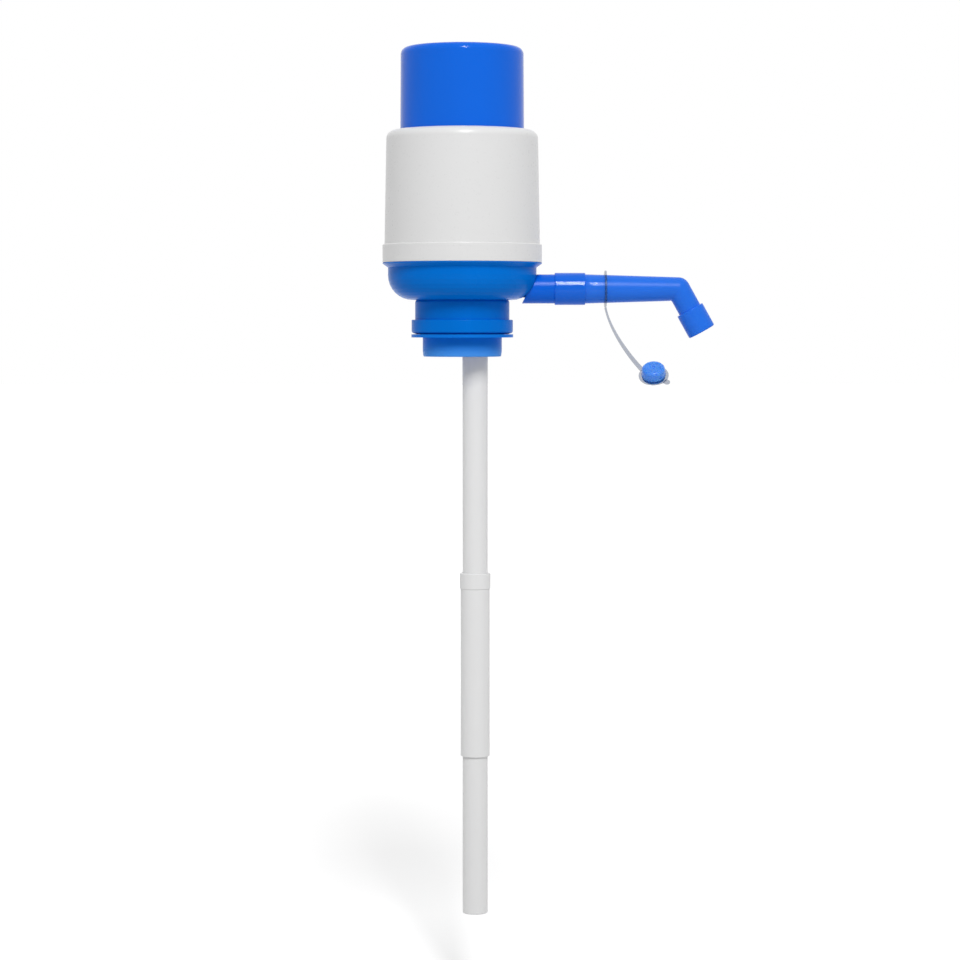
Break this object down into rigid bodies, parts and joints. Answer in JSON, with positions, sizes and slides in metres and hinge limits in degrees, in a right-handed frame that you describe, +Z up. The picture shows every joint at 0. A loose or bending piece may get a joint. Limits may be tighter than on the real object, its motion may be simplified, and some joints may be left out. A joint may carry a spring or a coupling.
{
  "type": "water jug hand pump",
  "caption": "Press-cap hand pump for a large water bottle: bung for the bottle's neck, dip tube in two lengths, swivelling spout and tethered stopper.",
  "frame": {"origin": "centre of the bung, on the underside of its flange, where the pump stands on the bottle's lip", "axes": "+Z up along the bung's axis, +X towards the spout"},
  "size_m": [0.1699, 0.0816, 0.4459],
  "materials": {
    "cap_blue": "smooth moulded plastic, low gloss",
    "base_blue": "smooth moulded plastic, semi-gloss",
    "bung_blue": "soft translucent moulded plastic",
    "spout_blue": "satin, slightly translucent moulded plastic",
    "coupler_blue": "polished moulded plastic",
    "housing_white": "fine satin moulded plastic",
    "tube_white": "extruded plastic, matte",
    "tether_clear": "frosted clear soft plastic",
    "bellows_plastic": "soft translucent plastic",
    "inner_white": "plain moulded plastic",
    "valve_rubber": "soft rubber",
    "steel": "stainless steel"
  },
  "bodies": {
    "base": {"base_bowl": "base_blue", "outer_housing": "housing_white", "valve_plate": "inner_white", "delivery_valve": "valve_rubber", "plate_seal": "valve_rubber", "bellows_clamp": "inner_white", "clamp_screws": "steel", "neck_bung": "bung_blue", "bung_seal": "valve_rubber", "tube_seal": "valve_rubber", "upper_tube": "tube_white", "tube_sleeve": "tube_white", "outlet_tube": "spout_blue", "spout_coupler": "coupler_blue", "bellows": "bellows_plastic", "return_spring": "steel"},
    "press_cap": {"press_cap": "cap_blue", "bellows_head": "inner_white", "intake_valve": "valve_rubber", "head_screws": "steel"},
    "lower_tube": {"lower_tube": "tube_white"},
    "spout": {"spout": "spout_blue", "spout_seal": "valve_rubber"},
    "tether_ring": {"tether_ring": "tether_clear"},
    "tether_strap": {"tether_strap": "tether_clear"},
    "stopper": {"stopper_flange": "tether_clear", "stopper": "spout_blue"}
  },
  "joints": [
    {"name": "press", "type": "slide", "parent": "base", "child": "press_cap", "axis": [0, 0, -1], "range_m": [0, 0.038], "stiffness_N_per_m": 600, "springref_m": -0.02, "deforming": ["bellows", "return_spring"]},
    {"name": "tube_slide", "type": "slide", "parent": "base", "child": "lower_tube", "axis": [0, 0, -1], "range_m": [-0.005, 0.054]},
    {"name": "spout_turn", "type": "hinge", "parent": "base", "child": "spout", "pos_m": [0.059, 0, 0.0248], "axis": [1, 0, 0], "continuous": true},
    {"name": "tether_slide", "type": "slide", "parent": "spout", "child": "tether_ring", "axis": [1, 0, 0], "range_m": [0, 0.03]},
    {"name": "tether_turn", "type": "hinge", "parent": "tether_ring", "child": "tether_strap", "pos_m": [0.0734, 0, 0.0248], "axis": [1, 0, 0], "continuous": true},
    {"name": "stopper_flex", "type": "hinge", "parent": "tether_strap", "child": "stopper", "pos_m": [0.078, 0, 0.0045], "axis": [0, 1, 0], "range_deg": [-18, 40], "stiffness_Nm_per_rad": 0.0007, "springref_deg": -9.74, "deforming": ["tether_strap"]}
  ]
}
